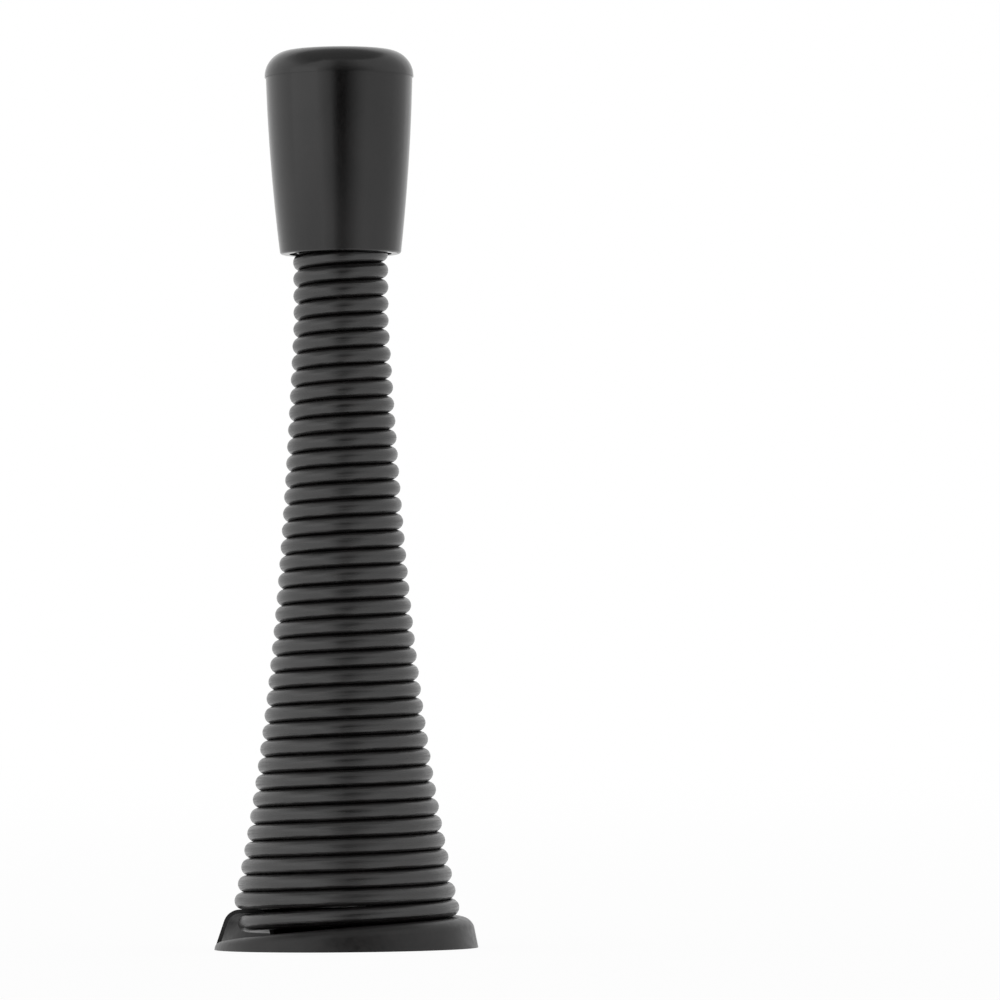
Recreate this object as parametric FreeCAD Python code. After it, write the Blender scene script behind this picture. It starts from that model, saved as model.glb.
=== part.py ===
import FreeCAD, Part
import math
import os

# Spring door stop: a pressed base that screws to a wall, a flaring close-wound spring, a moulded tip.
# Millimetres. The origin is the middle of the base on the wall plane, +Z runs along the stop to its tip.
# Places along the wire are counted in turns from the slit in the base's rim, which lies on the -X side.

# Whole stop
overall_height = 80.0

# Spring wire
wire_dia = 1.45
turn_gap = 0.04
spring_top_dia = 8.4
spring_foot_dia = 20.0
straight_length = 6.2
even_taper_share = 0.52
tail_turns = 0.55
chords_per_turn = 15

# Base plate
base_dia = 23.4
sheet = 0.35
channel_room = 0.9
skirt_lean_deg = 11.0
flap_lean_deg = 19.0
rim_bend_radius = 1.2
channel_dia = 17.6
bend_inset = 0.8
bend_run = 3.0
plate_lift = 0.1
ramp_step = 0.15
seat_rise = 0.1
screw_hole_dia = 4.5
rim_sections = 12

# Tip cap
cap_height = 18.35
crown_dia = 13.25
crown_height = 2.6
crown_radius = 45.0
shoulder_radius = 2.3
crown_overhang = 0.1
mouth_dia = 10.8
side_bow = 0.17
lip_round = 0.25
bore_depth = 9.5

# Clearances
seat_clearance = 0.14
slit_clearance = 0.15
wall_clearance = 0.15
cap_clearance = 0.35

# Worked out from the sizes above
wire_radius = wire_dia / 2
pitch = wire_dia + turn_gap
plate_top = plate_lift + sheet
low_edge = plate_top + ramp_step
rim_height = sheet + wire_dia + channel_room
flap_height = rim_height + pitch / 2 + seat_rise
seat_z = rim_height + seat_clearance + wire_radius
slit_z = flap_height - sheet - slit_clearance - wire_radius
tail_z = wall_clearance + wire_radius
mouth_z = overall_height - cap_height
parting_z = overall_height - crown_height
straight_z = mouth_z - straight_length
spring_end_z = mouth_z + bore_depth - cap_clearance - wire_radius
spring_turns = 0.5 + (spring_end_z - seat_z) / pitch


def place(radius, height):
    """A point of a section, in the plane through the axis and +X."""
    return FreeCAD.Vector(radius, 0, height)


def line(start, end):
    return Part.LineSegment(start, end).toShape()


def arc(center, radius, start_deg, end_deg):
    """An arc of a section; angles are counted from +X towards +Z."""
    spots = []
    for angle_deg in (start_deg, (start_deg + end_deg) / 2, end_deg):
        angle = math.radians(angle_deg)
        spots.append(center + place(radius * math.cos(angle), radius * math.sin(angle)))
    return Part.Arc(*spots).toShape()


def turned(shape, turns):
    """A section turned about the axis to its place, counted in turns from the slit."""
    copy = shape.copy()
    copy.rotate(FreeCAD.Vector(), FreeCAD.Vector(0, 0, 1), 180 + 360 * turns)
    return copy


def rim_top(turns):
    """Height of the rim: a ramp up from the slit in front, then a rise with the coil to the flap behind."""
    if turns < 0.5:
        return low_edge + (rim_height - low_edge) * math.sin(math.pi * turns)
    behind = turns - 0.5
    return rim_height + pitch * behind + seat_rise * math.sin(2 * math.pi * min(behind, 0.25))


def rim_lean(turns):
    """Lean of the skirt: even in front, then further in behind, where the rim rises to the flap."""
    share = (1 - math.cos(2 * math.pi * max(turns - 0.5, 0))) / 2
    return skirt_lean_deg + (flap_lean_deg - skirt_lean_deg) * share


def rim_section(turns):
    """Section of the sheet: skirt, bend, crest, double bend down to the plate, and back underneath."""
    height = rim_top(turns)
    lean_deg = rim_lean(turns)
    lean = math.radians(lean_deg)
    lip_radius = base_dia / 2
    below = -sheet

    bend = sheet + (rim_bend_radius - sheet) * (height - sheet) / (rim_height - sheet)
    bend_z = height - bend
    bend_center = place(lip_radius - (bend + bend_z * math.sin(lean)) / math.cos(lean), bend_z)
    skirt_out = place(lip_radius - below * math.tan(lean), below)
    skirt_in = place(lip_radius - (sheet + below * math.sin(lean)) / math.cos(lean), below)

    crest_radius = channel_dia / 2 - bend_inset
    plate_radius = crest_radius - bend_run
    inner_radius = screw_hole_dia / 4
    drop = height - plate_top
    fold = (bend_run ** 2 + drop ** 2) / (4 * drop)
    fold_deg = math.degrees(2 * math.atan2(drop, bend_run))
    upper_fold = place(crest_radius, height - fold)
    lower_fold = place(plate_radius, plate_top + fold)

    outer_bend = arc(bend_center, bend, lean_deg, 90)
    inner_bend = arc(bend_center, bend - sheet, 90, lean_deg)
    edges = [
        line(skirt_out, outer_bend.firstVertex().Point),
        outer_bend,
        line(place(bend_center.x, height), place(crest_radius, height)),
        arc(upper_fold, fold, 90, 90 + fold_deg),
        arc(lower_fold, fold, fold_deg - 90, -90),
        line(place(plate_radius, plate_top), place(inner_radius, plate_top)),
        line(place(inner_radius, plate_top), place(inner_radius, plate_lift)),
        line(place(inner_radius, plate_lift), place(plate_radius, plate_lift)),
        arc(lower_fold, fold + sheet, -90, fold_deg - 90),
        arc(upper_fold, fold - sheet, 90 + fold_deg, 90),
        line(place(crest_radius, height - sheet), place(bend_center.x, height - sheet)),
        inner_bend,
        line(inner_bend.lastVertex().Point, skirt_in),
        line(skirt_in, skirt_out),
    ]
    return turned(Part.Wire(edges), turns)


def rim_half(first_turn):
    """Half of the rim and plate, lofted from the turn where it starts."""
    steps = range(rim_sections + 1)
    sections = [rim_section(first_turn + 0.5 * step / rim_sections) for step in steps]
    return Part.makeLoft(sections, True, False)


def base_plate():
    """The pressed dish: ramp in front and rim behind, trimmed flat at the wall, with its screw hole."""
    dish = rim_half(0).fuse(rim_half(0.5))
    room = base_dia
    wall = Part.makeBox(2 * room, 2 * room, room, FreeCAD.Vector(-room, -room, -room))
    hole = Part.makeCylinder(screw_hole_dia / 2, 2 * room, FreeCAD.Vector(0, 0, -room))
    return dish.cut([wall, hole]).removeSplitter()


def flare_radius(height):
    """Radius of the coil's middle line: straight at the top, an even taper, then a trumpet flare."""
    depth = max(0, (straight_z - height) / (straight_z - seat_z))
    share = even_taper_share * depth + (1 - even_taper_share) * depth ** 3
    return (spring_top_dia + (spring_foot_dia - spring_top_dia) * share) / 2 - wire_radius


def wire_place(turns):
    """Middle of the wire: stacked turns, half a turn down the ramp, then the tail under the rim."""
    if turns >= 0.5:
        height = seat_z + pitch * (turns - 0.5)
        return flare_radius(height), height
    ease = math.sin(math.pi * max(turns, 0))
    dip = seat_z - pitch / 2 - slit_z
    height = slit_z + pitch * max(turns, 0) + dip * ease
    if turns < 0:
        steepness = pitch + dip * math.pi
        height = tail_z + (slit_z - tail_z) * math.exp(turns * steepness / (slit_z - tail_z))
    radius = channel_dia / 2 + (flare_radius(seat_z) - channel_dia / 2) * ease
    return radius, height


def wire_section(turns):
    """The wire cut through the axis: six flats with the height, width and area of the round wire."""
    radius, height = wire_place(turns)
    flat = wire_radius * (math.pi / 2 - 1)
    outline = [
        (wire_radius, 0),
        (flat, wire_radius),
        (-flat, wire_radius),
        (-wire_radius, 0),
        (-flat, -wire_radius),
        (flat, -wire_radius),
        (wire_radius, 0),
    ]
    corners = [place(radius + out, height + up) for out, up in outline]
    return turned(Part.makePolygon(corners), turns)


def spring():
    """The wire from the end of its tail under the rim to its last turn inside the cap."""
    chords = round((spring_turns + tail_turns) * chords_per_turn)
    sections = [wire_section(-tail_turns + chord / chords_per_turn) for chord in range(chords + 1)]
    return Part.makeLoft(sections, True, True)


def tip_cap():
    """The moulded tip: domed crown, parting step, bowed taper to the mouth, blind bore for the spring."""
    crown_edge = crown_dia / 2
    body_edge = crown_edge - crown_overhang
    mouth_edge = mouth_dia / 2
    bore_edge = spring_top_dia / 2 + cap_clearance
    bore_end = mouth_z + bore_depth

    reach = crown_edge - shoulder_radius
    crown_middle = place(0, overall_height - crown_radius)
    lift = math.sqrt((crown_radius - shoulder_radius) ** 2 - reach ** 2)
    shoulder_middle = crown_middle + place(reach, lift)
    shoulder_deg = math.degrees(math.atan2(lift, reach))
    crown = arc(crown_middle, crown_radius, 90, shoulder_deg)
    shoulder = arc(shoulder_middle, shoulder_radius, shoulder_deg, 0)

    lip_middle = place(mouth_edge - lip_round, mouth_z + lip_round)
    lip = arc(lip_middle, lip_round, 0, -90)
    side_top = place(body_edge, parting_z)
    side_end = lip.firstVertex().Point
    side_middle = (side_top + side_end) / 2 + place(side_bow, 0)
    outline = [
        crown,
        shoulder,
        line(shoulder.lastVertex().Point, place(crown_edge, parting_z)),
        line(place(crown_edge, parting_z), side_top),
        Part.Arc(side_top, side_middle, side_end).toShape(),
        lip,
        line(lip.lastVertex().Point, place(bore_edge, mouth_z)),
        line(place(bore_edge, mouth_z), place(bore_edge, bore_end)),
        line(place(bore_edge, bore_end), place(0, bore_end)),
        line(place(0, bore_end), place(0, overall_height)),
    ]
    return Part.Face(Part.Wire(outline)).revolve(FreeCAD.Vector(), FreeCAD.Vector(0, 0, 1), 360)


os.makedirs("parts", exist_ok=True)
base_plate().exportStep("parts/base_plate.step")
spring().exportStep("parts/spring.step")
tip_cap().exportStep("parts/tip_cap.step")
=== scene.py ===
import math

import bpy
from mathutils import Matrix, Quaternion, Vector


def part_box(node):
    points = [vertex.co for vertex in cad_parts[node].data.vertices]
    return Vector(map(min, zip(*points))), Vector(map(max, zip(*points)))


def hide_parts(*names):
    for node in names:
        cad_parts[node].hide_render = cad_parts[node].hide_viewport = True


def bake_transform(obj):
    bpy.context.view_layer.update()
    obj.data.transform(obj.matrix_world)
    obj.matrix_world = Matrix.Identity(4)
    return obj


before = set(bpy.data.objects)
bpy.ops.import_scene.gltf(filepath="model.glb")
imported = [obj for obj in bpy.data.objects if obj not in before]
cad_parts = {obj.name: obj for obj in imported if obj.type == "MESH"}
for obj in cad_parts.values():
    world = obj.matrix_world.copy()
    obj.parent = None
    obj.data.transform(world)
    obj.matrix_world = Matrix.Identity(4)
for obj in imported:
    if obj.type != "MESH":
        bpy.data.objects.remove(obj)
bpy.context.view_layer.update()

# Lengths are metres
MM = 0.001

# Wire: the sizes of the solid part, which has flats where this mesh is round
wire_dia = 1.45 * MM
turn_gap = 0.04 * MM
spring_top_dia = 8.4 * MM
spring_foot_dia = 20.0 * MM
straight_length = 6.2 * MM
even_taper_share = 0.52
ramp_turns = 0.5
tail_turns = 0.55
channel_dia = 17.6 * MM
sheet = 0.35 * MM
rim_height = 2.7 * MM
seat_clearance = 0.14 * MM
slit_clearance = 0.15 * MM
wall_clearance = 0.15 * MM

# Mesh of the wire
turn_overlap = 0.02 * MM
settle = 0.005 * MM
wire_sides = 24
rings_per_turn = 60
direction_step_turns = 0.001

# Camera
camera_distance = 653 * MM
camera_height = 19.7 * MM
camera_roll_deg = -0.52
aim_right = 13.98 * MM
aim_height = 39.66 * MM
sensor_width_mm = 36.0
field_width = 88.8 * MM

# Finish
warmth = 1.15
mottle_detail = 2.0
grain_detail = 4.0
noise_low = 0.3
noise_high = 0.7

# Floor
floor_reach = 3.0
floor_white = 1.0
floor_glow_share = 0.94
# The next two set the disc under the base where the floor's glow is cut: a painted shadow for the camera,
# and a weaker painted glow in gloss
lip_cover = 0.2 * MM
painted_glow_under_base = 0.8

# Studio: light is counted in the tent's white, places round the stop in degrees to the left of the camera
tent_glow = 1.0
cloth_right_deg = 130
cloth_left_deg = 34

# Light across a cloth: place, light
cloth_glow = [
    (-130, 0.9), (-110, 0.78), (-90, 0.74), (-60, 0.82), (-44, 0.86), (-34, 0.72), (-24, 0.43),
    (-14, 0.18), (-8, 0.02), (0, 0.02), (4, 0.1), (14, 0.66), (26, 0.92), (34, 1.1),
]

# Rows of a cloth: distance, height, share of fading to the tent's white, widening of the light's pattern
front_rows = [
    (0.5, 0.0005, 0.3, 1.0),
    (0.5, 0.05, 0, 0.95),
    (0.5, 0.09, 0, 1.05),
    (0.5, 0.17, 0.08, 1.8),
    (0.5, 0.22, 0.16, 1.5),
    (0.5, 0.3, 0.28, 1.2),
    (0.5, 0.68, 0.46, 1.0),
]
floor_rows = [
    (0.0125, 0.0003, 0.45, 0.7),
    (0.05, 0.0003, 0.32, 0.9),
    (0.2, 0.0004, 0.3, 1.0),
    (0.5, 0.0005, 0.3, 1.0),
]

# Cloth overhead: corners of its grey middle and of its pale border
ceiling_height = 0.9
ceiling_inner = [(-0.7, -0.6), (0.75, -0.6), (0.5, 0.4), (-0.4, 0.4)]
ceiling_outer = [(-1.6, -0.75), (1.4, -0.75), (0.85, 0.7), (-0.95, 0.7)]
ceiling_glow = 0.43

# Lamp
lamp_azimuth_deg = 57
lamp_distance = 1.0
lamp_height = 0.24
lamp_width = 0.9
lamp_rise = 0.45
lamp_glow = 0.2

# Worked out from the sizes above and from the frame
base_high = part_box("base_plate")[1]
cap_low, cap_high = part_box("tip_cap")
spring_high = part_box("spring")[1]
overall_height = cap_high.z
wire_radius = wire_dia / 2
pitch = wire_dia + turn_gap
flap_height = base_high.z
seat_z = rim_height + seat_clearance - settle + wire_radius
slit_z = flap_height - sheet - slit_clearance - wire_radius
tail_z = wall_clearance + wire_radius
straight_z = cap_low.z - straight_length
spring_end_z = spring_high.z - wire_radius
spring_turns = ramp_turns + (spring_end_z - seat_z) / pitch


def flare_radius(height):
    """Radius of the coil's middle line: straight at the top, an even taper, then a trumpet flare."""
    depth = max(0, (straight_z - height) / (straight_z - seat_z))
    share = even_taper_share * depth + (1 - even_taper_share) * depth ** 3
    return (spring_top_dia + (spring_foot_dia - spring_top_dia) * share) / 2 - wire_radius


def wire_place(turns):
    """Middle of the wire, in turns from the slit: stacked turns, the ramp, the tail under the rim."""
    if turns >= ramp_turns:
        height = seat_z + pitch * (turns - ramp_turns)
        radius = flare_radius(height)
    else:
        ease = math.sin(math.pi / 2 * max(turns, 0) / ramp_turns)
        dip = seat_z - pitch * ramp_turns - slit_z
        height = slit_z + pitch * max(turns, 0) + dip * ease
        if turns < 0:
            steepness = pitch + dip * math.pi / 2 / ramp_turns
            height = tail_z + (slit_z - tail_z) * math.exp(turns * steepness / (slit_z - tail_z))
        radius = channel_dia / 2 + (flare_radius(seat_z) - channel_dia / 2) * ease
    angle = math.pi * (1 + 2 * turns)
    return Vector((radius * math.cos(angle), radius * math.sin(angle), height))


def wire_reach(turns):
    """Radius of the round wire: half the way to the next turn and a little more, so that turns touch."""
    seated = max(turns, ramp_turns)
    return ((wire_place(seated + 1) - wire_place(seated)).length + turn_overlap) / 2


def new_object(name, vertices, faces, material):
    """A smooth mesh of one material, linked to the scene."""
    mesh = bpy.data.meshes.new(name)
    mesh.from_pydata(vertices, [], faces)
    mesh.shade_smooth()
    mesh.materials.append(material)
    piece = bpy.data.objects.new(name, mesh)
    bpy.context.scene.collection.objects.link(piece)
    return piece


def point_values(piece, name, kind, field, values):
    """Give every point of a mesh a value that its material reads by name."""
    attribute = piece.data.attributes.new(name, kind, "POINT")
    attribute.data.foreach_set(field, values)


def spring_mesh(material):
    """The round wire: one ring of points for each step along it, with a flat end at both ends."""
    rings = round((spring_turns + tail_turns) * rings_per_turn)
    vertices = []
    along_wire = []
    run = 0
    last = wire_place(-tail_turns)
    for ring in range(rings + 1):
        turns = -tail_turns + ring / rings_per_turn
        middle = wire_place(turns)
        radius = wire_reach(turns)
        along = wire_place(turns + direction_step_turns) - wire_place(turns - direction_step_turns)
        along.normalize()
        out = Vector((middle.x, middle.y, 0)).normalized()
        up = out.cross(along).normalized()
        out = along.cross(up)
        run += (middle - last).length
        last = middle
        for side in range(wire_sides):
            angle = 2 * math.pi * side / wire_sides
            vertices.append(middle + radius * (math.cos(angle) * out + math.sin(angle) * up))
            along_wire += [run, radius * math.cos(angle), radius * math.sin(angle)]
    faces = []
    for ring in range(rings):
        here = ring * wire_sides
        there = here + wire_sides
        for side in range(wire_sides):
            after = (side + 1) % wire_sides
            faces.append((here + side, there + side, there + after, here + after))
    faces.append(tuple(range(wire_sides)))
    faces.append(tuple(reversed(range(rings * wire_sides, (rings + 1) * wire_sides))))
    piece = new_object("spring_wire", vertices, faces, material)
    point_values(piece, "along_wire", "FLOAT_VECTOR", "vector", along_wire)
    return piece


def new_material(name):
    """A material and its node tree, which holds one plain shader."""
    material = bpy.data.materials.new(name)
    material.use_nodes = True
    return material, material.node_tree


def add(tree, kind, inputs=None, **settings):
    """A new node; each input is a value or another node's output."""
    node = tree.nodes.new(kind)
    for name, value in settings.items():
        setattr(node, name, value)
    for name, value in (inputs or {}).items():
        if isinstance(value, bpy.types.NodeSocket):
            tree.links.new(value, node.inputs[name])
        else:
            node.inputs[name].default_value = value
    return node


def combine(tree, operation, first, second):
    """The output of a maths node with two inputs."""
    return add(tree, "ShaderNodeMath", {0: first, 1: second}, operation=operation).outputs[0]


def noise(tree, coords, stretch, detail):
    """A noise whose grains have the sizes 1 / stretch along the three coordinates."""
    spot = add(tree, "ShaderNodeVectorMath", {0: coords, 1: stretch}, operation="MULTIPLY").outputs[0]
    inputs = {"Vector": spot, "Scale": 1.0, "Detail": detail}
    return add(tree, "ShaderNodeTexNoise", inputs).outputs["Fac"]


def spread(tree, value, low, high):
    """A noise's middle range spread over the values from low to high."""
    inputs = {"Value": value, "From Min": noise_low, "From Max": noise_high, "To Min": low, "To Max": high}
    return add(tree, "ShaderNodeMapRange", inputs).outputs["Result"]


def black_coat(name, coords_name, mottle, grain, shades, roughness, ior, waves, relief):
    """A black surface: soft mottling in its colour and waves, fine grain in its roughness and relief."""
    material, tree = new_material(name)
    if coords_name:
        coords = add(tree, "ShaderNodeAttribute", attribute_name=coords_name).outputs["Vector"]
    else:
        coords = add(tree, "ShaderNodeTexCoord").outputs["Object"]
    patches = noise(tree, coords, mottle, mottle_detail)
    grains = noise(tree, coords, grain, grain_detail)
    both = combine(tree, "ADD", patches, grains)
    mean = combine(tree, "MULTIPLY", both, 0.5)
    shade = spread(tree, mean, *shades)
    warm = combine(tree, "MULTIPLY", shade, warmth)
    colour = add(tree, "ShaderNodeCombineColor", {"Red": warm, "Green": shade, "Blue": shade})
    wave_inputs = {"Height": patches, "Strength": 1.0, "Distance": waves}
    wavy = add(tree, "ShaderNodeBump", wave_inputs).outputs["Normal"]
    grain_inputs = {"Height": grains, "Strength": 1.0, "Distance": relief, "Normal": wavy}
    grainy = add(tree, "ShaderNodeBump", grain_inputs).outputs["Normal"]
    shader = tree.nodes["Principled BSDF"]
    tree.links.new(colour.outputs["Color"], shader.inputs["Base Color"])
    tree.links.new(spread(tree, grains, *roughness), shader.inputs["Roughness"])
    tree.links.new(grainy, shader.inputs["Normal"])
    shader.inputs["IOR"].default_value = ior
    return material


def floor_paper():
    """White paper that glows to the camera and in gloss and is matt otherwise; under the base the glow is
    cut, as a painted shadow for the camera and a weaker painted glow in gloss.
    """
    material, tree = new_material("floor_paper")
    shader = tree.nodes["Principled BSDF"]
    shader.inputs["Base Color"].default_value = (floor_white, floor_white, floor_white, 1)
    shader.inputs["Roughness"].default_value = 1.0
    shader.inputs["Specular IOR Level"].default_value = 0.0
    path = add(tree, "ShaderNodeLightPath")
    spot = add(tree, "ShaderNodeNewGeometry").outputs["Position"]
    radius = add(tree, "ShaderNodeVectorMath", {0: spot}, operation="LENGTH").outputs["Value"]
    # Painted shadow under the base: the camera sees no glow there, and gloss sees only part of it, as a
    # painted glow
    outside_painted_shadow = combine(tree, "GREATER_THAN", radius, base_high.x - lip_cover)
    seen = combine(tree, "MULTIPLY", path.outputs["Is Camera Ray"], outside_painted_shadow)
    mirrored = combine(tree, "MAXIMUM", outside_painted_shadow, painted_glow_under_base)
    for ray in ("Is Glossy Ray", "Is Transmission Ray"):
        shown = combine(tree, "MULTIPLY", path.outputs[ray], mirrored)
        seen = combine(tree, "MAXIMUM", seen, shown)
    share = combine(tree, "MULTIPLY", seen, floor_glow_share)
    glow = add(tree, "ShaderNodeEmission", {"Color": (1, 1, 1, 1), "Strength": 1.0}).outputs["Emission"]
    mix = add(tree, "ShaderNodeMixShader", {"Fac": share, 1: shader.outputs["BSDF"], 2: glow})
    tree.links.new(mix.outputs["Shader"], tree.nodes["Material Output"].inputs["Surface"])
    return material


def studio_place(azimuth_deg, distance, height):
    """A place round the stop, as many degrees to the left of the camera."""
    azimuth = math.radians(azimuth_deg)
    return Vector((-distance * math.sin(azimuth), -distance * math.cos(azimuth), height))


def cloth(name, vertices, faces, glow):
    """A cloth with its own light at every point, which the camera doesn't see."""
    material, tree = new_material(name)
    light = add(tree, "ShaderNodeAttribute", attribute_name="glow")
    emission = add(tree, "ShaderNodeEmission", {"Strength": light.outputs["Fac"]})
    tree.links.new(emission.outputs["Emission"], tree.nodes["Material Output"].inputs["Surface"])
    piece = new_object(name, vertices, faces, material)
    point_values(piece, "glow", "FLOAT", "value", glow)
    piece.visible_camera = False
    return piece


def between(value, places):
    """Value on the line through the listed places."""
    for (start, low), (end, high) in zip(places, places[1:]):
        if value <= end:
            return low + (high - low) * max(0, value - start) / (end - start)
    return places[-1][1]


def cloth_run(name, rows):
    """A cloth round the stop, made of the listed rows, with its light changing from right to left."""
    vertices = []
    glow = []
    faces = []
    columns = cloth_right_deg + cloth_left_deg
    row_count = len(rows)
    for column in range(columns + 1):
        azimuth_deg = column - cloth_right_deg
        for distance, height, fade, widening in rows:
            vertices.append(studio_place(azimuth_deg, distance, height))
            shade = between(azimuth_deg / widening, cloth_glow)
            glow.append(shade + (tent_glow - shade) * fade)
    for column in range(columns):
        for row in range(row_count - 1):
            here = column * row_count + row
            there = here + row_count
            faces.append((here, there, there + 1, here + 1))
    return cloth(name, vertices, faces, glow)


def ceiling_cloth():
    """The cloth overhead: grey in the middle, paling to the tent's white at its edge."""
    sides = len(ceiling_inner)
    vertices = [(x, y, ceiling_height) for x, y in ceiling_inner + ceiling_outer]
    faces = [tuple(reversed(range(sides)))]
    for side in range(sides):
        after = (side + 1) % sides
        faces.append((side, after, after + sides, side + sides))
    cloth("ceiling_cloth", vertices, faces, [ceiling_glow] * sides + [tent_glow] * sides)


# Door stop
wire_black = black_coat(
    "wire_black", "along_wire", mottle=(450, 1300, 1300), grain=(280, 7000, 7000),
    shades=(0.0, 0.012), roughness=(0.22, 0.42), ior=1.72, waves=0.06 * MM, relief=0.02 * MM)
base_black = black_coat(
    "base_black", "", mottle=(350, 350, 500), grain=(1800, 1800, 1800),
    shades=(0.0, 0.01), roughness=(0.3, 0.42), ior=1.5, waves=0.03 * MM, relief=0.004 * MM)
tip_black = black_coat(
    "tip_black", "", mottle=(250, 250, 200), grain=(5000, 5000, 5000),
    shades=(0.0, 0.008), roughness=(0.15, 0.21), ior=1.57, waves=0.012 * MM, relief=0.0006 * MM)

spring = spring_mesh(wire_black)
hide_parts("spring")
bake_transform(spring)

for node, material in (("base_plate", base_black), ("tip_cap", tip_black)):
    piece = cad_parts[node]
    piece.data.materials.clear()
    piece.data.materials.append(material)

# Floor
floor_corners = [(-floor_reach, -floor_reach, 0), (floor_reach, -floor_reach, 0),
                 (floor_reach, floor_reach, 0), (-floor_reach, floor_reach, 0)]
floor = new_object("floor", floor_corners, [(0, 1, 2, 3)], floor_paper())

# Studio: a cloth in front, one on the floor that only gloss shows, one overhead, a lamp and a white tent
cloth_run("front_cloth", front_rows)
floor_cloth = cloth_run("floor_cloth", floor_rows)
floor_cloth.visible_diffuse = False
floor_cloth.visible_shadow = False
ceiling_cloth()

lamp_data = bpy.data.lights.new("left_lamp", "AREA")
lamp_data.shape = "RECTANGLE"
lamp_data.size = lamp_width
lamp_data.size_y = lamp_rise
lamp_data.energy = math.pi * lamp_width * lamp_rise * lamp_glow
lamp = bpy.data.objects.new("left_lamp", lamp_data)
lamp.location = studio_place(lamp_azimuth_deg, lamp_distance, lamp_height)
towards = Vector((0, 0, overall_height / 2)) - lamp.location
lamp.rotation_euler = towards.to_track_quat("-Z", "Y").to_euler()
bpy.context.scene.collection.objects.link(lamp)

world = bpy.data.worlds.new("tent")
world.use_nodes = True
background = world.node_tree.nodes["Background"]
background.inputs["Color"].default_value = (1, 1, 1, 1)
background.inputs["Strength"].default_value = tent_glow
bpy.context.scene.world = world

# Camera
camera_data = bpy.data.cameras.new("camera")
camera_data.sensor_width = sensor_width_mm
camera_data.lens = sensor_width_mm * camera_distance / field_width
camera = bpy.data.objects.new("camera", camera_data)
camera.location = (0, -camera_distance, camera_height)
aim = Vector((aim_right, 0, aim_height)) - camera.location
roll = Quaternion((0, 0, 1), math.radians(camera_roll_deg))
camera.rotation_euler = (aim.to_track_quat("-Z", "Y") @ roll).to_euler()
bpy.context.scene.collection.objects.link(camera)
bpy.context.scene.camera = camera
bpy.context.scene.view_settings.view_transform = "Standard"
